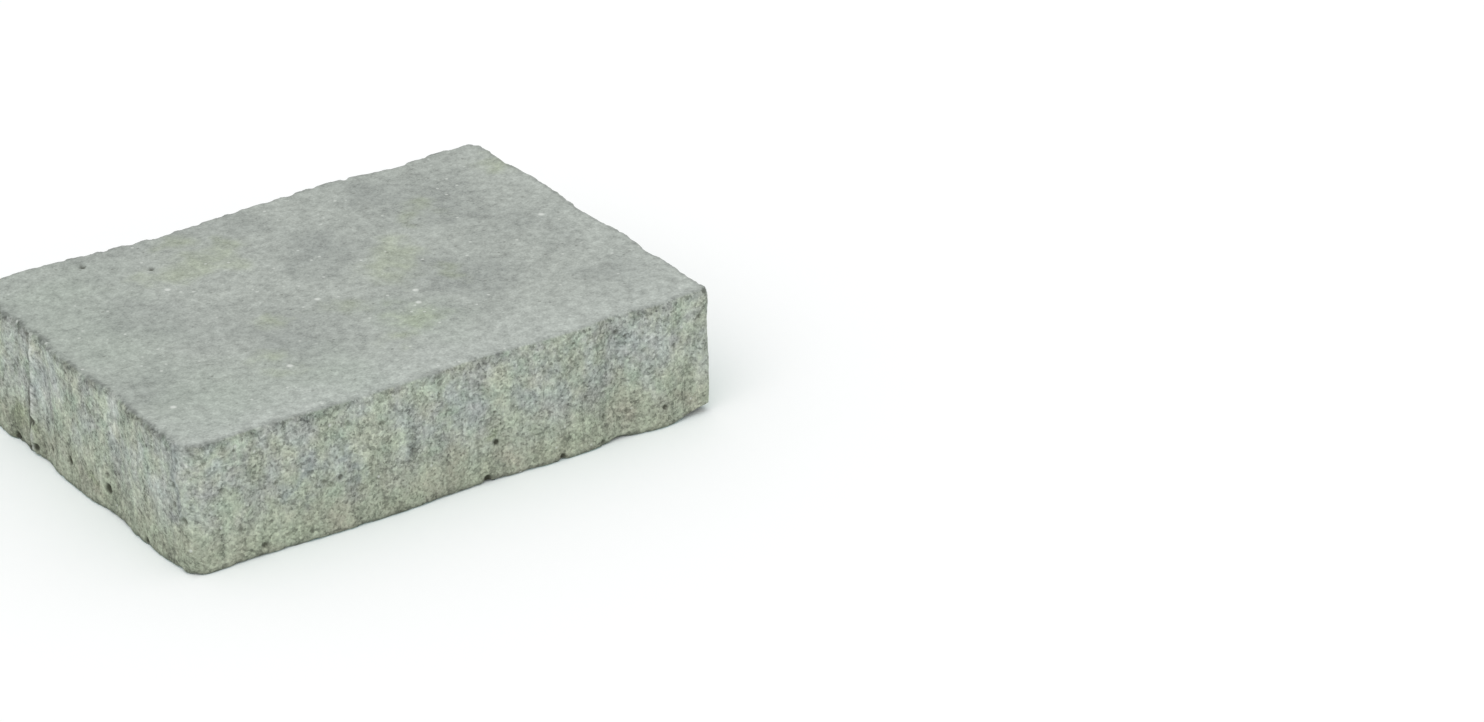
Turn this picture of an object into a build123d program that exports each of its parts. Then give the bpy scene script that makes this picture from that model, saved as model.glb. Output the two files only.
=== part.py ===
"""Concrete paving stone: one pressed block with wavy, hand-dressed looking sides.

The block lies on its bed face, with the wearing face up. All lengths are in millimetres. The origin is
on the bed face, under the middle of the block. +X runs along the length, +Y along the width, away from
the front side, and +Z is up.
"""

import os

from build123d import *

# Overall size of the block, over the outermost points of its sides
length = 349.5
width = 260.0
thickness = 80.0

# Rounded corners of the outline, in the order in which the outline is drawn
front_left_corner_radius = 12.0
front_right_corner_radius = 5.0
back_right_corner_radius = 9.0
back_left_corner_radius = 9.0

# How far the deepest hollow of a side lies inside the block's overall size
side_wave_depth = 6.0

# How far the ends of the sides lie inside the overall size, as a share of side_wave_depth
corner_set_back_share = 0.3

# The worn round arris of the wearing face, and the small flat that blunts the edge of the bed face
top_arris_radius = 2.5
bed_edge_chamfer = 1.0

# The dressed sides, each as (place, set back) pairs between its two corners. A place is a share of the
# stretch between the corner arcs. A set back is a share of side_wave_depth, in from the overall size.
front_wave_shares = [
    (0.09, 0.42), (0.19, 0.25), (0.30, 0.10), (0.41, 0.17), (0.52, 0.50), (0.60, 0.36),
    (0.70, 0.08), (0.77, 0.25), (0.83, 0.60), (0.90, 0.04), (0.96, 0.30),
]
right_wave_shares = [
    (0.11, 0.27), (0.18, 0.17), (0.24, 0.45), (0.31, 0.10), (0.43, 0.24), (0.51, 0.45),
    (0.62, 0.25), (0.74, 0.04), (0.82, 0.18), (0.89, 0.43),
]
back_wave_shares = [
    (0.09, 0.36), (0.16, 0.76), (0.23, 0.30), (0.31, 0.01), (0.40, 0.26), (0.51, 0.50),
    (0.64, 0.98), (0.74, 0.73), (0.84, 0.33), (0.92, 0.20),
]
left_wave_shares = [
    (0.10, 0.04), (0.15, 0.06), (0.21, 0.38), (0.245, 0.05), (0.31, 0.46), (0.39, 0.08),
    (0.48, 0.04), (0.57, 0.05), (0.62, 0.29), (0.68, 0.52), (0.73, 0.35), (0.79, 0.06),
    (0.86, 0.04), (0.93, 0.12),
]

# The rectangle that the ends of all four sides lie on
corner_set_back = side_wave_depth * corner_set_back_share
half_length = length / 2 - corner_set_back
half_width = width / 2 - corner_set_back
to_right = Vector(1, 0)
to_back = Vector(0, 1)
front_left = Vector(-half_length, -half_width)
front_right = Vector(half_length, -half_width)
back_right = Vector(half_length, half_width)
back_left = Vector(-half_length, half_width)


def side_points(start, end, outwards, wave_shares):
    """Points of a dressed side from one corner arc to the next, through its crests and hollows."""
    points = [start]
    for place, set_back in wave_shares:
        along = start + (end - start) * place
        points.append(along + outwards * (corner_set_back - side_wave_depth * set_back))
    return points + [end]


front_points = side_points(
    front_left + to_right * front_left_corner_radius,
    front_right - to_right * front_right_corner_radius,
    -to_back,
    front_wave_shares,
)
right_points = side_points(
    front_right + to_back * front_right_corner_radius,
    back_right - to_back * back_right_corner_radius,
    to_right,
    right_wave_shares,
)
back_points = side_points(
    back_right - to_right * back_right_corner_radius,
    back_left + to_right * back_left_corner_radius,
    to_back,
    back_wave_shares,
)
left_points = side_points(
    back_left - to_back * back_left_corner_radius,
    front_left + to_back * front_left_corner_radius,
    -to_right,
    left_wave_shares,
)

# The block: its outline drawn side by side and corner by corner, pressed to the full thickness, and
# then worn round along the wearing face and blunted along the bed face
with BuildPart() as paving_stone:
    with BuildSketch(Plane.XY):
        with BuildLine():
            front = Spline(front_points, tangents=(to_right, to_right))
            right = Spline(right_points, tangents=(to_back, to_back))
            back = Spline(back_points, tangents=(-to_right, -to_right))
            left = Spline(left_points, tangents=(-to_back, -to_back))
            for side, next_side in ((front, right), (right, back), (back, left), (left, front)):
                TangentArc(side @ 1, next_side @ 0, tangent=side % 1)
        make_face()
    extrude(amount=thickness)
    wearing_face = paving_stone.faces().sort_by(Axis.Z)[-1]
    fillet(wearing_face.edges(), radius=top_arris_radius)
    bed_face = paving_stone.faces().sort_by(Axis.Z)[0]
    chamfer(bed_face.edges(), length=bed_edge_chamfer)

paving_stone.part.label = "paving_stone"

os.makedirs("parts", exist_ok=True)
export_step(paving_stone.part, "parts/paving_stone.step")
print("volume in cubic mm", round(paving_stone.part.volume))
print("from", paving_stone.part.bounding_box().min, "to", paving_stone.part.bounding_box().max)
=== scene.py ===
# %% [markdown]
# # A concrete paving stone
#
# The real stone is one block of concrete, pressed in a steel mould and turned out while it is still damp.
# Its top, the wearing face, is fine and nearly flat. Its four sides are wavy, like stone that was dressed
# by hand, and they show the sand and grit of the mix, with drag marks from the mould, pits and broken
# edges.
#
# The CAD model already holds the true size, the waves, the corners and the arrises. This lesson lays a
# fine mesh over that shape, roughens it the way the mould does, and gives it a concrete made only of
# nodes.

# %% Load the CAD model as the fixed frame
import math
import random

import bmesh
import bpy
from mathutils import Matrix, Vector, noise
from mathutils.bvhtree import BVHTree
from mathutils.kdtree import KDTree


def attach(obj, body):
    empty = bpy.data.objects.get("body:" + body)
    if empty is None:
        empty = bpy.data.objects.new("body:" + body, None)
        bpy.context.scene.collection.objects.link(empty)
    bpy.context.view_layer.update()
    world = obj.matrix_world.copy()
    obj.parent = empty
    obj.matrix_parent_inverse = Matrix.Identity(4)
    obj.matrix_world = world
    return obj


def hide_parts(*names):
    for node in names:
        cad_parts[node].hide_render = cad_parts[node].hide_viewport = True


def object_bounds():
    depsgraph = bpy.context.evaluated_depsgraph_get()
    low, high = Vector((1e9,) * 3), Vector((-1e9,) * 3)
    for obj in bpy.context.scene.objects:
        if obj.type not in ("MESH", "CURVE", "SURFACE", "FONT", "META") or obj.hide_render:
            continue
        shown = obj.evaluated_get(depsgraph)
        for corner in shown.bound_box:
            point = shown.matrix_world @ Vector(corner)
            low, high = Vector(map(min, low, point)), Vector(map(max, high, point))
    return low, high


MM = 0.001
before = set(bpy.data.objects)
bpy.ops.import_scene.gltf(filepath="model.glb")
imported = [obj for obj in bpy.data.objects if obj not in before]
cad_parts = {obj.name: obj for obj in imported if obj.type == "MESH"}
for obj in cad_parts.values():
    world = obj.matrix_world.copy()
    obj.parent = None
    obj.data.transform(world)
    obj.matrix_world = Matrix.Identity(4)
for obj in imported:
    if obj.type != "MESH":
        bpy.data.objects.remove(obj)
cad_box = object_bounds()
low, high = cad_box
print("CAD box in mm:", [round(extent / MM, 1) for extent in high - low])

# %% [markdown]
# ## The blank: a box of small squares
#
# Grit and pits need many small faces, all about the same size. The CAD mesh has long thin triangles,
# which can't take fine relief, and a voxel remesh would leave steps on the flat top. So the blank starts
# as a box of the stone's overall size that is cut into squares, one direction after the other.
#
# The sides and the rims carry the coarse relief, so they are cut finest. The top gets middling squares,
# and the middle of the bed face, which lies on the floor, stays coarse.

# %% Make the box and cut it into coarse squares
COARSE_SQUARE = 5.2 * MM
RIM_WIDTH = 9.0 * MM

block = bmesh.new()
bmesh.ops.create_cube(block, size=1.0)
bmesh.ops.scale(block, vec=high - low, verts=block.verts)
bmesh.ops.translate(block, vec=(low + high) / 2, verts=block.verts)
for axis in range(3):
    span = (high - low)[axis]
    along = [e for e in block.edges if abs((e.verts[1].co - e.verts[0].co)[axis]) > span / 2]
    bmesh.ops.subdivide_edges(block, edges=along, cuts=round(span / COARSE_SQUARE) - 1, use_grid_fill=True)
print("coarse squares:", len(block.faces))


# %% Cut the squares finer where the relief needs it
def cut_finer(wanted):
    """Halves every edge of the faces that the test picks."""
    block.normal_update()
    for face in block.faces:
        face.tag = wanted(face)
    edges = [e for e in block.edges if any(f.tag for f in e.link_faces)]
    bmesh.ops.subdivide_edges(block, edges=edges, cuts=1, use_grid_fill=True)


def near_rim(face):
    """True for the sides, and for the strip of the top and the bed face that lies along their edges."""
    centre = face.calc_center_median()
    inset = min(centre.x - low.x, high.x - centre.x, centre.y - low.y, high.y - centre.y)
    return inset < RIM_WIDTH


cut_finer(lambda face: near_rim(face) or face.normal.z > 0.5)
cut_finer(near_rim)
print("squares after cutting:", len(block.faces))

# %% [markdown]
# ## Laying the blank on the CAD shape
#
# Each corner point of the blank moves to the nearest point of the CAD surface. A Shrinkwrap modifier does
# the same, but here the points are needed at once, because the relief that follows depends on which way
# the CAD surface faces. That direction also says what a point is: part of the fine top, or part of the
# rough sides.

# %% Move the points onto the CAD surface and sort them
FOLD_LIMIT = 0.7

cad_surface = BVHTree.FromObject(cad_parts["paving_stone"], bpy.context.evaluated_depsgraph_get())
cad_facing = []
for vert in block.verts:
    vert.co, normal, _, _ = cad_surface.find_nearest(vert.co)
    cad_facing.append(normal)
block.normal_update()
block.verts.ensure_lookup_table()

# In a tight hollow a square can fold over, and there the CAD surface says which way is out
points = [vert.co.copy() for vert in block.verts]
facing = []
for vert, normal in zip(block.verts, cad_facing):
    facing.append(vert.normal.copy() if vert.normal.dot(normal) > FOLD_LIMIT else normal)


def ease(start, end, value):
    """0 before start, 1 after end, and a smooth step between them."""
    share = min(max((value - start) / (end - start), 0.0), 1.0)
    return share * share * (3 - 2 * share)


# The direction alone tells the sides, the bed face and the two rims apart
sideways = [ease(0.25, 0.85, math.hypot(n.x, n.y)) for n in facing]
bedwards = [ease(0.5, 0.9, -n.z) for n in facing]
top_rim = [i for i, n in enumerate(facing) if 0.55 < n.z < 0.85]
bed_rim = [i for i, n in enumerate(facing) if -0.85 < n.z < -0.35]
flanks = [i for i, n in enumerate(facing) if abs(n.z) < 0.1]
print("points on the sides:", len(flanks), "on the top rim:", len(top_rim), "on the bed rim:", len(bed_rim))

# %% [markdown]
# ## The relief of the cast
#
# The sides of a pressed stone are uneven at three scales: soft lumps a finger wide, single grains, and
# faint upright drag marks from the mould. A Displace modifier could add each of them, but it would need a
# vertex group for every surface. Here each is a noise that is read at the point and added along the
# direction in which the surface faces. Stretching a noise upwards, by shrinking its z, turns blobs into
# drag marks. The top only swells a little.
#
# One mark is no accident of the mix. On the left side two plates of the mould meet, and leave a seam that
# leans a little: a low, patchy ridge, with a recess behind it that runs out over the next 14 millimetres.

# %% Add lumps, grit, drag marks and the seam
LUMP, GRIT, DRAG, SWELL = 0.45, 0.26, 0.30, 0.12
LUMP_SIZE, GRIT_SIZE, DRAG_WIDTH, DRAG_LENGTH, SWELL_SIZE = 15.0, 2.4, 3.1, 26.0, 24.0
LUMP_STRETCH = 0.6
SEAM_PLACE, SEAM_LEAN, SEAM_WOBBLE = 59.8, 0.085, 0.8
SEAM_RIDGE, SEAM_RIDGE_BEFORE, SEAM_RIDGE_HALF, SEAM_DEPTH = 0.6, 1.3, 2.4, 1.9

hollow = [0.0] * len(points)
ridge_highlight = [0.0] * len(points)


def recess(past):
    """How deep the seam is, from 0 to 1, that many mm past its ridge."""
    return ease(-0.4, 1.2, past) * (1 - ease(5.0, 14.0, past))


def seam_shade(past, up, grit):
    """How much painted shade the deepest part of the seam gets. It is painted darker towards the bed face.
    """
    deepest = ease(0.2, 1.0, past) * (1 - ease(4.0, 8.5, past))
    return deepest * (0.40 + 0.35 * (1 - ease(15.0, 60.0, up)) + 0.3 * grit)


for i, vert in enumerate(block.verts):
    p = points[i] / MM
    lump = noise.fractal(Vector((p.x, p.y, p.z * LUMP_STRETCH)) / LUMP_SIZE, 1.0, 2.0, 3)
    grit = noise.noise(p / GRIT_SIZE)
    drag = noise.noise(Vector((p.x / DRAG_WIDTH, p.y / DRAG_WIDTH, p.z / DRAG_LENGTH)))
    swell = noise.noise(p / SWELL_SIZE)
    rough = LUMP * lump + GRIT * grit + DRAG * drag
    wobble = SEAM_WOBBLE * noise.noise(Vector((0, 0, p.z / LUMP_SIZE)))
    past = p.y - SEAM_PLACE + SEAM_LEAN * p.z + wobble
    on_left = ease(0.3, 0.8, -facing[i].x)
    ridge = max(0.0, 1 - abs(past + SEAM_RIDGE_BEFORE) / SEAM_RIDGE_HALF) * on_left
    ridge *= 0.5 + 0.5 * ease(15.0, 45.0, p.z) + 0.9 * drag + 0.7 * grit
    rough += SEAM_RIDGE * ridge - SEAM_DEPTH * recess(past) * on_left
    # The ridge is painted pale: a painted highlight where it faces the light
    ridge_highlight[i] = ridge
    # The deepest part of the recess is painted dark: painted shade in the seam
    hollow[i] = seam_shade(past, p.z, grit) * on_left
    rise = (rough * sideways[i] + SWELL * swell * (1 - sideways[i])) * (1 - bedwards[i])
    vert.co = points[i] + facing[i] * rise * MM
print("relief added to", len(block.verts), "points")

# %% [markdown]
# ## Pits and broken edges
#
# Air and loose grit leave pits in the sides. A pit is a small bowl: points near its middle sink, and the
# sinking fades out at its rim. The edges break differently. A chip leaves a flat scar across the edge
# that is deepest in the middle, so every point that stands proud of that scar moves back onto it.
# Booleans could cut both, but hundreds of cuts would be slow and leave rims that are too sharp for worn
# concrete.
#
# A tree of all points finds the ones near each pit or chip quickly. The pits that can be told apart on
# the real stone are listed one by one, in millimetres, and a seeded random draw scatters the rest. The back
# edge of the top is broken more than the other edges.

# %% Sink the pits
DARK_PIT_DEPTH = 2.2
PIT_WALL_SHADE = 1.35

rng = random.Random(8)
point_tree = KDTree(len(points))
for i, p in enumerate(points):
    point_tree.insert(p, i)
point_tree.balance()


def sink_pit(middle, radius, depth):
    """A bowl of that radius and depth, in mm, at the surface point nearest to middle."""
    start = point_tree.find(middle)[0]
    for _, i, distance in point_tree.find_range(start, radius * MM):
        share = 1 - (distance / (radius * MM)) ** 2
        block.verts[i].co -= facing[i] * depth * MM * share
        # Painted shade in the pit: the deeper the bowl, the darker its middle is painted
        darkness = min(PIT_WALL_SHADE * share, 1.0) * min(depth / DARK_PIT_DEPTH, 1.0)
        hollow[i] = max(hollow[i], darkness)


# Place along the side, height, radius and depth
front_pits = [
    (-151, 49, 2.0, 1.2), (-141, 21, 2.2, 1.3), (-127, 7, 2.4, 1.7), (-118, 43, 2.0, 1.2),
    (-96, 7, 2.0, 1.3), (-77, 34, 2.4, 1.5), (19, 3, 3.2, 2.1), (26, 24, 2.6, 2.0), (69, 3, 2.6, 2.0),
    (99, 18, 2.2, 1.5), (115, 65, 2.0, 1.5), (140, 14, 2.2, 1.7), (-40, 22, 2.0, 1.1), (6, 44, 1.9, 1.0),
    (-137, 33, 1.9, 1.0), (159, 39, 2.4, 1.1), (159, 34, 2.2, 1.0),
]
left_pits = [
    (-31, 15, 4.2, 2.7), (57, 21, 3.4, 2.1), (10, 16, 3.7, 2.4), (-78, 3, 3.2, 1.8), (37, 12, 3.5, 2.2),
    (55, 5, 3.4, 2.0), (78, 3, 3.4, 2.0), (-112, 52, 2.8, 1.3), (88, 40, 2.0, 1.0), (-117, 69, 2.4, 1.1),
    (-120, 33, 2.4, 1.1),
]
top_pits = [(-107, 112), (-76, 86)]
TOP_PIT_RADIUS, TOP_PIT_DEPTH = 3.2, 1.9
RANDOM_PITS = 150
PIT_RADII, PIT_DEPTHS = (1.7, 2.6), (0.5, 1.4)

for x, z, radius, depth in front_pits:
    sink_pit((x * MM, low.y, z * MM), radius, depth)
for y, z, radius, depth in left_pits:
    sink_pit((low.x, y * MM, z * MM), radius, depth)
for x, y in top_pits:
    sink_pit((x * MM, y * MM, high.z), TOP_PIT_RADIUS, TOP_PIT_DEPTH)
for i in rng.sample(flanks, RANDOM_PITS):
    sink_pit(points[i], rng.uniform(*PIT_RADII), rng.uniform(*PIT_DEPTHS))
print("pits:", len(front_pits) + len(left_pits) + len(top_pits) + RANDOM_PITS)

# %% Break the edges
SCAR_GRAIN, SCAR_GRAIN_SIZE = 0.12, 1.6
DARK_SCAR_DEPTH, DARKEST_SCAR = 2.4, 0.6


def break_off(start, out, half_length, depth):
    """A flat scar that faces out, at a point of an edge, with its half length and depth in mm."""
    run = out.cross(Vector((0, 0, 1))).normalized()
    for _, i, _ in point_tree.find_range(start, (half_length + 4 * depth) * MM):
        share = (points[i] - start).dot(run) / (half_length * MM)
        grain = SCAR_GRAIN * MM * noise.noise(points[i] / (SCAR_GRAIN_SIZE * MM))
        scar = -depth * MM * (1 - share * share) + grain
        proud = (block.verts[i].co - start).dot(out) - scar
        if abs(share) < 1 and proud > 0:
            block.verts[i].co -= out * proud
            # The scar is painted darker the deeper it cuts: painted shade in the chip
            hollow[i] = max(hollow[i], min(proud / (DARK_SCAR_DEPTH * MM), DARKEST_SCAR))


def nearest(rim, x, y):
    """The point of that rim nearest to a place in the plan, in mm."""
    return min(rim, key=lambda i: (points[i].x / MM - x) ** 2 + (points[i].y / MM - y) ** 2)


# Place in the plan, half length and depth
bed_chips = [(109, -130, 7, 1.4), (69, -130, 3, 1.6), (19, -130, 4, 1.4), (-174, 59, 5, 1.2)]
top_chips = [
    (-174, -78, 5, 1.5), (-174, 61, 4, 1.5), (-30, -130, 6, 0.9), (60, -130, 5, 0.9), (172, -128, 9, 1.6),
]
back_rim = [i for i in top_rim if facing[i].y > 0.4]
# Rim, number of chips, and the ranges of their half lengths and depths
random_chips = [
    (top_rim, 190, (1.6, 5.0), (0.15, 0.8)),
    (bed_rim, 130, (2.0, 5.0), (0.2, 0.8)),
    (back_rim, 60, (2.5, 6.0), (0.5, 1.7)),
]
LOST_CORNER_FACES = Vector((0.12, -0.45, -0.885)).normalized()
LOST_CORNER_REACH, LOST_CORNER_DEPTH = 34.0, 4.2

for rim, chips in ((bed_rim, bed_chips), (top_rim, top_chips)):
    for x, y, half_length, depth in chips:
        i = nearest(rim, x, y)
        break_off(points[i], facing[i], half_length, depth)
for rim, count, half_lengths, depths in random_chips:
    for i in rng.sample(rim, count):
        break_off(points[i], facing[i], rng.uniform(*half_lengths), rng.uniform(*depths))
lost_corner = points[nearest(bed_rim, high.x / MM, low.y / MM)]
break_off(lost_corner, LOST_CORNER_FACES, LOST_CORNER_REACH, LOST_CORNER_DEPTH)
random_count = sum(count for _, count, _, _ in random_chips)
print("chips:", len(bed_chips) + len(top_chips) + random_count, "and one lost corner")

# %% [markdown]
# ## From the mesh to the piece
#
# The finish needs to know which points are rough side, how much painted shade lies in a hollow, which
# points of the seam's ridge get a painted highlight, and which lie along the arris of the top, where
# painted shade darkens the edge. Painted vertex colours could say so, but the values are known here
# already, so all four go along with the mesh as attributes. The piece then stands for the CAD node and
# rides on the stone's only body.

# %% Write the piece
ARRIS_CORE, ARRIS_REACH = 1.6, 4.2

rim_tree = KDTree(len(top_rim))
for i in top_rim:
    rim_tree.insert(points[i], i)
rim_tree.balance()
# How near each point lies to the arris of the top, where the finish paints shade along the edge
along_arris = [1 - ease(ARRIS_CORE, ARRIS_REACH, rim_tree.find(p)[2] / MM) for p in points]
for vert in block.verts:
    vert.co.z = max(vert.co.z, low.z)
for name, values in (("side", sideways), ("hollow", hollow), ("ridge_highlight", ridge_highlight), ("arris", along_arris)):
    layer = block.verts.layers.float.new(name)
    for vert, value in zip(block.verts, values):
        vert[layer] = value
mesh = bpy.data.meshes.new("cast_stone")
block.to_mesh(mesh)
block.free()
mesh.shade_smooth()
stone = bpy.data.objects.new("cast_stone", mesh)
bpy.context.scene.collection.objects.link(stone)
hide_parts("paving_stone")
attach(stone, "root")
mesh.calc_loop_triangles()
print("triangles:", len(mesh.loop_triangles))

# %% [markdown]
# ## Shader sums as plain Python
#
# A finish is easier to read as a sum than as a drawing of nodes. The small class below wraps one socket,
# and Python's own signs then add the Math nodes. Everything that isn't a sum comes from one method, which
# takes the node's type, its settings and its sockets. A Mix node keeps one set of sockets for each kind
# of data, so its colour sockets go by number.

# %% A socket that can be used in sums
MIX_FACTOR, MIX_FIRST, MIX_SECOND, MIX_RESULT = 0, 6, 7, 2


class Signal:
    """An output socket in a material's nodes. Sums of signals add Math nodes."""

    def __init__(self, tree, socket=None):
        self.tree = tree
        self.socket = socket

    def node(self, kind, settings, sockets, output=0):
        """Any node: its type, its settings, and the values or links of its sockets."""
        made = self.tree.nodes.new(kind)
        for name, value in settings.items():
            setattr(made, name, value)
        for name, value in sockets.items():
            if isinstance(value, Signal):
                self.tree.links.new(value.socket, made.inputs[name])
            else:
                made.inputs[name].default_value = value
        return Signal(self.tree, made.outputs[output] if made.outputs else None)

    def sum(self, operation, first, second):
        """A Math node on two values."""
        return self.node("ShaderNodeMath", {"operation": operation}, {0: first, 1: second})

    def __add__(self, other):
        return self.sum("ADD", self, other)

    def __radd__(self, other):
        return self.sum("ADD", other, self)

    def __sub__(self, other):
        return self.sum("SUBTRACT", self, other)

    def __rsub__(self, other):
        return self.sum("SUBTRACT", other, self)

    def __mul__(self, other):
        return self.sum("MULTIPLY", self, other)

    def __rmul__(self, other):
        return self.sum("MULTIPLY", other, self)

    def step(self, start, end):
        """A smooth step from 0 at start to 1 at end."""
        sockets = {"Value": self, "From Min": start, "From Max": end}
        return self.node("ShaderNodeMapRange", {"interpolation_type": "SMOOTHSTEP"}, sockets)

    def mix(self, blend, factor, first, second):
        """A Mix node on colours."""
        sockets = {MIX_FACTOR: factor, MIX_FIRST: first, MIX_SECOND: second}
        return self.node("ShaderNodeMix", {"data_type": "RGBA", "blend_type": blend}, sockets, MIX_RESULT)

    def tint(self, first, second):
        """The first colour where this signal is 0, and the second where it is 1."""
        return self.mix("MIX", self, first, second)


print("signals add Math nodes for + - and *")

# %% [markdown]
# ## The concrete
#
# Concrete is sand and grit in a grey cement paste. Up close no two grains have the same colour, and from
# a step away soft clouds of grey, olive and yellow show where the paste dried unevenly. A picture of
# concrete could be wrapped round the block, but it would stretch on the sides and repeat. A noise reads a
# place in the block itself, so its grains run over the edges without a break.
#
# The finish is built from wide to fine: clouds and stains, then grains with painted shade along the arris
# and a painted contact shadow at the bottom, then single pale and dark specks, and last a painted highlight
# on the seam's ridge and painted shade in the hollows. The top and the sides have a paste each. The sides
# show coarser grains and more contrast, because there the mould dragged the paste off the sand.

# %% Places and soft noises on the stone
concrete = bpy.data.materials.new("concrete")
concrete.use_nodes = True
concrete.node_tree.nodes.clear()
mat = Signal(concrete.node_tree)
place = mat.node("ShaderNodeTexCoord", {}, {}, "Object")
across, back, height = (mat.node("ShaderNodeSeparateXYZ", {}, {"Vector": place}, axis) for axis in "XYZ")
side, shade_in_hollows, seam_highlight, arris = (
    mat.node("ShaderNodeAttribute", {"attribute_name": name}, {}, "Fac")
    for name in ("side", "hollow", "ridge_highlight", "arris")
)


def vector(operation, first, second, output=0):
    """A Vector Math node on two vectors."""
    return mat.node("ShaderNodeVectorMath", {"operation": operation}, {0: first, 1: second}, output)


def cloud(scale, detail=3.0, rough=0.6, shift=(0, 0, 0), stretch=(1, 1, 1)):
    """A soft noise from 0 to 1, with scale in patches a metre."""
    moved = vector("ADD", vector("MULTIPLY", place, stretch), shift)
    sockets = {"Vector": moved, "Scale": scale, "Detail": detail, "Roughness": rough}
    return mat.node("ShaderNodeTexNoise", {}, sockets, "Fac")


def sway(soft_noise, amount):
    """That noise, moved so that it swings about 0, times an amount."""
    return amount * (soft_noise - 0.5)


def colour(red, green, blue):
    """A colour for a socket, in linear light."""
    return (red, green, blue, 1.0)


print("noises read", place.socket.name, "coordinates")

# %% Stains at places of their own
WANDER = 60.0 * MM

wander_sockets = {"Vector": place, "Scale": 42.0, "Detail": 5.0}
wander = mat.node("ShaderNodeTexNoise", {}, wander_sockets, "Color")
wandered = vector("ADD", place, vector("MULTIPLY", wander, (WANDER, WANDER, WANDER)))


def stains(spots):
    """Soft patches at places in mm, each with a radius in mm, with edges that wander."""
    total = 0.0
    for x, y, z, radius in spots:
        middle = [value * MM + WANDER / 2 for value in (x, y, z)]
        away = vector("DISTANCE", wandered, middle, "Value")
        total = total + (1 - away.step(0.0, radius * MM))
    return mat.sum("MINIMUM", total, 1.0)


print("stains wander by up to", round(WANDER / 2 / MM), "mm")

# %% The paste of the wearing face
TOP_GREY = colour(0.404, 0.435, 0.402)
TOP_DARK = colour(0.322, 0.348, 0.326)
TOP_OLIVE = colour(0.985, 1.01, 0.885)
TOP_GREEN = colour(0.955, 0.985, 0.955)
TOP_PALE = colour(0.446, 0.481, 0.449)
PALE_FRONT = (-124.0 * MM, -66.0 * MM)
PALE_RIGHT, PALE_RIGHT_LEAN = (118.0 * MM, 192.0 * MM), 0.2

grey_spots = [
    (97, 80, 80, 64), (12, 45, 80, 44), (-48, -50, 80, 42), (80, -28, 80, 44), (140, -75, 80, 34),
]
green_spots = [
    (-140, 85, 80, 70), (-150, 10, 80, 70), (-135, -75, 80, 70), (-60, -95, 80, 55), (18, -62, 80, 40),
]
olive_spots = [
    (-53, 108, 80, 22), (-73, 73, 80, 24), (-45, 72, 80, 26), (-28, 88, 80, 18), (54, 24, 80, 24),
    (36, 2, 80, 26), (-6, -26, 80, 24), (18, -60, 80, 22), (-4, -78, 80, 18), (67, -19, 80, 16),
    (-53, -17, 80, 18), (-75, -62, 80, 22), (164, 88, 80, 20), (92, 66, 80, 20),
]
broad = cloud(17.0, shift=(8, 3, 5))
darker = mat.sum("MINIMUM", 0.8 * stains(grey_spots) + 0.7 * broad.step(0.42, 0.72), 1.0)
top_paste = darker.tint(TOP_GREY, TOP_DARK)
pale_front = 1 - back.step(*PALE_FRONT)
pale_right = 0.75 * (across - PALE_RIGHT_LEAN * back).step(*PALE_RIGHT)
pale_strip = mat.sum("MAXIMUM", pale_front, pale_right) * (0.55 + 0.6 * cloud(40.0, shift=(4, 4, 4)))
top_paste = mat.sum("MINIMUM", pale_strip, 1.0).tint(top_paste, TOP_PALE)
top_paste = mat.mix("MULTIPLY", stains(olive_spots), top_paste, TOP_OLIVE)
top_paste = mat.mix("MULTIPLY", stains(green_spots), top_paste, TOP_GREEN)
print("stains on the wearing face:", len(grey_spots) + len(green_spots) + len(olive_spots))

# %% The stains of the sides
SIDE_YELLOW = colour(0.422, 0.459, 0.360)
SIDE_COOL = colour(0.374, 0.404, 0.396)
SIDE_BROWN = colour(0.352, 0.360, 0.288)
SIDE_MOSS = colour(0.245, 0.285, 0.190)
SIDE_DIM = colour(0.262, 0.290, 0.282)

yellow_spots = [
    (-28, -128, 69, 16), (-118, -128, 64, 18), (-90, -128, 58, 18), (-155, -128, 68, 14),
    (24, -128, 64, 16), (42, -128, 60, 14), (72, -128, 13, 18), (164, -128, 66, 14),
    (142, -128, 30, 14), (-53, -128, 44, 12), (-168, -124, 6, 16), (-174, -2, 65, 16),
    (-174, -52, 60, 18), (-174, 94, 62, 14), (-174, -72, 18, 14), (-174, 44, 69, 12),
]
cool_spots = [
    (-153, -128, 52, 18), (-98, -128, 44, 16), (-5, -128, 56, 16), (12, -128, 46, 16), (59, -128, 42, 22),
    (122, -128, 61, 22), (-174, 48, 50, 20), (-174, -95, 40, 22), (-174, 20, 60, 14),
]
brown_spots = [
    (-78, -128, 10, 20), (-12, -128, 14, 18), (37, -128, 10, 18), (104, -128, 16, 16), (157, -128, 11, 16),
    (-174, 42, 11, 18), (-174, 94, 10, 16), (-174, -15, 11, 18), (-174, 66, 14, 16),
]
moss_spots = [
    (-174, 67, 16, 16), (-174, 79, 6, 15), (-174, 62, 24, 10), (-174, -22, 14, 9), (26, -128, 24, 8),
]
dim_spots = [
    (-174, -116, 72, 13), (-174, -113, 60, 13), (-174, -113, 50, 13), (-173, -118, 40, 12),
    (-103, -128, 42, 13), (-105, -128, 32, 12), (-70, -128, 39, 12), (-75, -128, 28, 12),
    (-30, -128, 40, 12),
]
# Places, strength and colour
dry_stains = [(yellow_spots, 0.7, SIDE_YELLOW), (cool_spots, 0.78, SIDE_COOL)]
damp_stains = [(brown_spots, 0.85, SIDE_BROWN), (moss_spots, 0.7, SIDE_MOSS), (dim_spots, 0.8, SIDE_DIM)]
print("stains on the sides:", sum(len(spots) for spots, _, _ in dry_stains + damp_stains))

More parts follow.
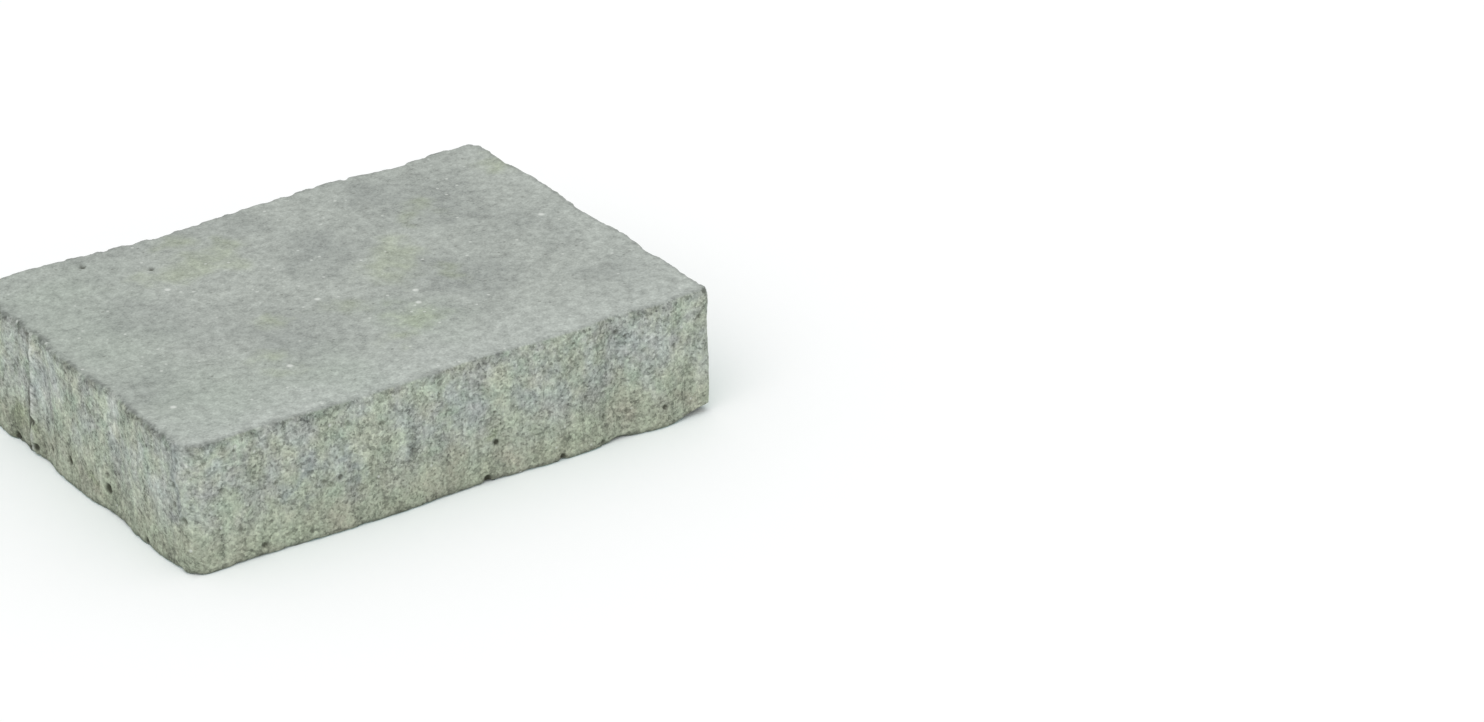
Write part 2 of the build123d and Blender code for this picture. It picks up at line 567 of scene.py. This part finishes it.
# %% The paste of the sides
SIDE_GREY = colour(0.367, 0.399, 0.369)
SIDE_OLIVE = colour(0.386, 0.427, 0.346)
SIDE_GREEN = colour(0.344, 0.405, 0.333)
SIDE_LOW = colour(0.338, 0.370, 0.282)
GREENER = colour(0.985, 1.01, 1.0)
ROSIER = colour(1.02, 0.988, 1.0)
LOW_BAND, LOW_BAND_SWAY = (2.0 * MM, 52.0 * MM), 30.0 * MM

patches = cloud(48.0, 4.0, 0.62, (3, 1, 2), (1, 1, 0.7))
side_paste = patches.step(0.40, 0.62).tint(SIDE_GREY, SIDE_OLIVE)
side_paste = (0.8 * cloud(64.0, shift=(5, 9, 2)).step(0.50, 0.66)).tint(side_paste, SIDE_GREEN)
for spots, strength, stain_colour in dry_stains:
    side_paste = (strength * stains(spots)).tint(side_paste, stain_colour)
low_edge = height + sway(cloud(30.0, shift=(7, 7, 1)), LOW_BAND_SWAY)
side_paste = (0.85 * (1 - low_edge.step(*LOW_BAND))).tint(side_paste, SIDE_LOW)
for spots, strength, stain_colour in damp_stains:
    side_paste = (strength * stains(spots)).tint(side_paste, stain_colour)
rosy = cloud(75.0, shift=(9, 5, 4)).step(0.32, 0.68)
side_paste = mat.mix("MULTIPLY", 1.0, side_paste, rosy.tint(GREENER, ROSIER))
paste = side.tint(top_paste, side_paste)
print("paste made of", len(concrete.node_tree.nodes), "nodes")


# %% Grains of sand, and how they shade the paste
def grain_numbers(scale, shift):
    """One random number from 0 to 1 for each grain, with scale in grains a metre."""
    sockets = {"Vector": vector("ADD", place, shift), "Scale": scale}
    made = mat.node("ShaderNodeTexVoronoi", {"feature": "F1"}, sockets, "Color")
    return mat.node("ShaderNodeSeparateColor", {}, {"Color": made}, "Red")


LEFT_SIDE = (-168.0 * MM, -150.0 * MM)
CONTACT_SHADE_BAND = (0.5 * MM, 4.5 * MM)
LOW_DARK_HEIGHT = 36.0 * MM

sand = grain_numbers(560.0, (0, 0, 0))
fine_sand = grain_numbers(980.0, (5, 3, 1))
dust = cloud(700.0, 3.0, 0.7, (1, 4, 2))
mottle = cloud(220.0, shift=(6, 2, 3))
blotch = cloud(80.0, shift=(2, 6, 8), stretch=(1, 1, 0.6))
streak = cloud(300.0, 3.0, 0.55, (2, 2, 9), (1, 1, 0.06))
left_side = 1 - across.step(*LEFT_SIDE)
contact_shade = 1 - height.step(*CONTACT_SHADE_BAND)

top_shade = 1 + sway(fine_sand, 0.20) + sway(dust, 0.6) + sway(mottle, 0.9) + sway(blotch, 0.35)
side_shade = (
    1 + sway(sand, 0.58 - 0.10 * left_side) + sway(fine_sand, 0.36) + sway(dust, 0.85)
    + sway(mottle, 0.5 + 0.6 * left_side) + sway(blotch, 1.0 + 0.4 * left_side) + sway(streak, 0.6)
)
shade = side * side_shade + (1 - side) * top_shade
# Painted shade along the arris of the top: a little all round, more in patches, and most on the left side
patchy_arris_shade = cloud(130.0, shift=(4, 8, 7)).step(0.40, 0.60)
shade = shade * (1 - arris * (0.05 + 0.05 * left_side + (0.18 + 0.14 * left_side) * patchy_arris_shade))
# Painted contact shadow: a patchy dark band along the bottom of the sides, where the stone meets the floor
shade = shade * (1 - 0.42 * contact_shade * (0.3 + 1.4 * mottle))
# The left side is painted a little darker towards the bottom
shade = shade * (1 - 0.09 * left_side * (1 - height.step(0.0, LOW_DARK_HEIGHT)))
grainy = mat.mix("MULTIPLY", 1.0, paste, shade)
print("concrete with grains made of", len(concrete.node_tree.nodes), "nodes")

# %% Pale and dark specks, a painted highlight on the seam's ridge, and painted shade in the hollows
PALE_SPECK = colour(0.68, 0.71, 0.67)
DARK_SPECK = colour(0.12, 0.125, 0.10)
PIT_SHADE = colour(0.05, 0.052, 0.036)
FLECK_CORE, FLECK_RADIUS = 0.78 * MM, 2.6 * MM
SPECK_EDGE, SPECK_SOFTNESS = 0.22, 0.02

fleck_places = [(-82, 55), (27, -45), (-152, -78), (-74, -72), (-18, -7), (34, -30), (148, 14)]
flecks = 0.0
for x, y in fleck_places:
    from_fleck = vector("DISTANCE", place, (x * MM, y * MM, high.z), "Value")
    flecks = flecks + (1 - from_fleck.step(FLECK_CORE, FLECK_RADIUS))


def specks(scale, shift, core, left_out):
    """Round specks in a few grains. They fade from core outwards, and a share of the grains is left out."""
    sockets = {"Vector": vector("ADD", place, shift), "Scale": scale}
    from_middle = mat.node("ShaderNodeTexVoronoi", {"feature": "F1"}, sockets, "Distance")
    chosen = grain_numbers(scale, shift).step(left_out, left_out + SPECK_SOFTNESS)
    return (1 - from_middle.step(core, SPECK_EDGE)) * chosen


pale = specks(170.0, (2, 8, 5), 0.10, 0.88)
dark = specks(190.0, (9, 1, 6), 0.09, 0.86)
skin = mat.sum("MAXIMUM", pale * 0.6, flecks * 0.85).tint(grainy, PALE_SPECK)
skin = (dark * (0.35 + 0.25 * side)).tint(skin, DARK_SPECK)
# Painted highlight along the seam's ridge, patchy and strongest higher up
skin = (seam_highlight * 1.1 * mottle.step(0.36, 0.66)).tint(skin, PALE_SPECK)
# Painted shade in the pits, the chip scars and the seam's recess
skin = (shade_in_hollows.step(0.1, 0.95) * 0.95).tint(skin, PIT_SHADE)
print("concrete with specks made of", len(concrete.node_tree.nodes), "nodes")

# %% Relief too fine for the mesh, and the shader
ROUGH, ROUGH_SWAY = 0.92, 0.1
BUMP_STRENGTH, BUMP_HEIGHT = 0.6, 0.7 * MM
GLOSS_LEVEL = 0.3

bumps = side * (0.7 * sand + 0.9 * dust) + (1 - side) * (0.35 * fine_sand + 0.5 * dust) - 0.8 * dark
bump_sockets = {"Strength": BUMP_STRENGTH, "Distance": BUMP_HEIGHT, "Height": bumps}
shader_sockets = {
    "Base Color": skin,
    "Roughness": ROUGH - sway(dust, ROUGH_SWAY),
    "Normal": mat.node("ShaderNodeBump", {}, bump_sockets, "Normal"),
    "Specular IOR Level": GLOSS_LEVEL,
}
shader = mat.node("ShaderNodeBsdfPrincipled", {}, shader_sockets)
mat.node("ShaderNodeOutputMaterial", {}, {"Surface": shader})
mesh.materials.append(concrete)
print("concrete on", stone.name)

# %% [markdown]
# ## Floor, light and camera
#
# The stone lies on a plain white floor under soft, even light. A white world lights it from all round,
# the floor throws light back onto the sides, and one very soft lamp over the near left corner makes the
# faces differ a little. More lamps could make the floor white, but they would bleach the stone. So for
# the camera alone the floor adds a little light of its own, and reads as white where no shadow falls.
# Under the stone it adds none, or the gap below the lost corner would glow.

# %% The floor
FLOOR_HALF = 4.0
FLOOR_DROP = 0.1 * MM
plane = bmesh.new()
bmesh.ops.create_grid(plane, x_segments=1, y_segments=1, size=FLOOR_HALF)
bmesh.ops.translate(plane, vec=(0, 0, low.z - FLOOR_DROP), verts=plane.verts)
floor_mesh = bpy.data.meshes.new("floor")
plane.to_mesh(floor_mesh)
plane.free()
floor = bpy.data.objects.new("floor", floor_mesh)
bpy.context.scene.collection.objects.link(floor)
print("floor at", round((low.z - FLOOR_DROP) / MM, 2), "mm")


# %% The floor's paint
def seen_directly(nodes):
    """1 for what the camera sees, straight or through gloss and glass, and 0 for the light on the stone."""
    kinds = ("Is Camera Ray", "Is Glossy Ray", "Is Transmission Ray")
    straight, glossy, through = (nodes.node("ShaderNodeLightPath", {}, {}, kind) for kind in kinds)
    return nodes.sum("MINIMUM", straight + glossy + through, 1.0)


FLOOR_WHITE = colour(0.90, 0.92, 0.915)
FLOOR_SEEN = colour(0.99, 0.89, 0.90)
FLOOR_GLOW = colour(0.005, 0.115, 0.105)
UNDER_X = (168.0 * MM, 176.0 * MM)
UNDER_Y = (123.0 * MM, 131.0 * MM)

floor_paint = bpy.data.materials.new("floor_paint")
floor_paint.use_nodes = True
floor_paint.node_tree.nodes.clear()
ground = Signal(floor_paint.node_tree)
floor_place = ground.node("ShaderNodeTexCoord", {}, {}, "Object")
from_middle_x, from_middle_y = (
    ground.sum("ABSOLUTE", ground.node("ShaderNodeSeparateXYZ", {}, {"Vector": floor_place}, axis), 0.0)
    for axis in "XY"
)
beside_stone = ground.sum("MAXIMUM", from_middle_x.step(*UNDER_X), from_middle_y.step(*UNDER_Y))
matt = ground.node("ShaderNodeBsdfDiffuse", {}, {"Color": FLOOR_WHITE})
shaded = ground.node("ShaderNodeBsdfDiffuse", {}, {"Color": FLOOR_SEEN})
glow = ground.node("ShaderNodeEmission", {}, {"Color": FLOOR_GLOW, "Strength": 1.0})
lit = ground.node("ShaderNodeAddShader", {}, {0: shaded, 1: glow})
seen = seen_directly(ground) * beside_stone
both = ground.node("ShaderNodeMixShader", {}, {0: seen, 1: matt, 2: lit})
ground.node("ShaderNodeOutputMaterial", {}, {"Surface": both})
floor_mesh.materials.append(floor_paint)
print("floor paint made of", len(floor_paint.node_tree.nodes), "nodes")

# %% The world and the lamp
SKY_LIGHT = 0.78
LAMP_LIGHT = 0.95
LAMP_SPREAD = 60.0
LAMP_FROM = Vector((-0.46, -0.39, 0.80))
world = bpy.data.worlds.new("white_room")
bpy.context.scene.world = world
world.use_nodes = True
world.node_tree.nodes.clear()
air = Signal(world.node_tree)
level = SKY_LIGHT + (1.0 - SKY_LIGHT) * seen_directly(air)
backdrop = air.node("ShaderNodeBackground", {}, {"Color": colour(1, 1, 1), "Strength": level})
air.node("ShaderNodeOutputWorld", {}, {"Surface": backdrop})

lamp = bpy.data.lights.new("soft_lamp", "SUN")
lamp.energy = LAMP_LIGHT
lamp.angle = math.radians(LAMP_SPREAD)
soft_lamp = bpy.data.objects.new("soft_lamp", lamp)
soft_lamp.rotation_mode = "QUATERNION"
soft_lamp.rotation_quaternion = (-LAMP_FROM).to_track_quat("-Z", "Y")
bpy.context.scene.collection.objects.link(soft_lamp)
print("world light", SKY_LIGHT, "and lamp", LAMP_LIGHT)

# %% The camera
PHOTO_WIDTH = 1484
FOCAL_PIXELS = 5425.0
SENSOR = 36.0
CAMERA_PLACE = (-1.3860, -2.4729, 1.4455)
HEADING, PITCH, ROLL = (math.radians(angle) for angle in (33.98, 26.65, 0.945))
CLIP_END = 100.0

camera = bpy.data.objects.new("camera", bpy.data.cameras.new("camera"))
camera.data.sensor_width = SENSOR
camera.data.lens = SENSOR * FOCAL_PIXELS / PHOTO_WIDTH
camera.data.clip_end = CLIP_END
camera.matrix_world = (
    Matrix.Translation(CAMERA_PLACE)
    @ Matrix.Rotation(-HEADING, 4, "Z")
    @ Matrix.Rotation(math.pi / 2 - PITCH, 4, "X")
    @ Matrix.Rotation(-ROLL, 4, "Z")
)
bpy.context.scene.collection.objects.link(camera)
bpy.context.scene.camera = camera
bpy.context.scene.view_settings.view_transform = "Standard"
print("lens", round(camera.data.lens, 1), "mm")
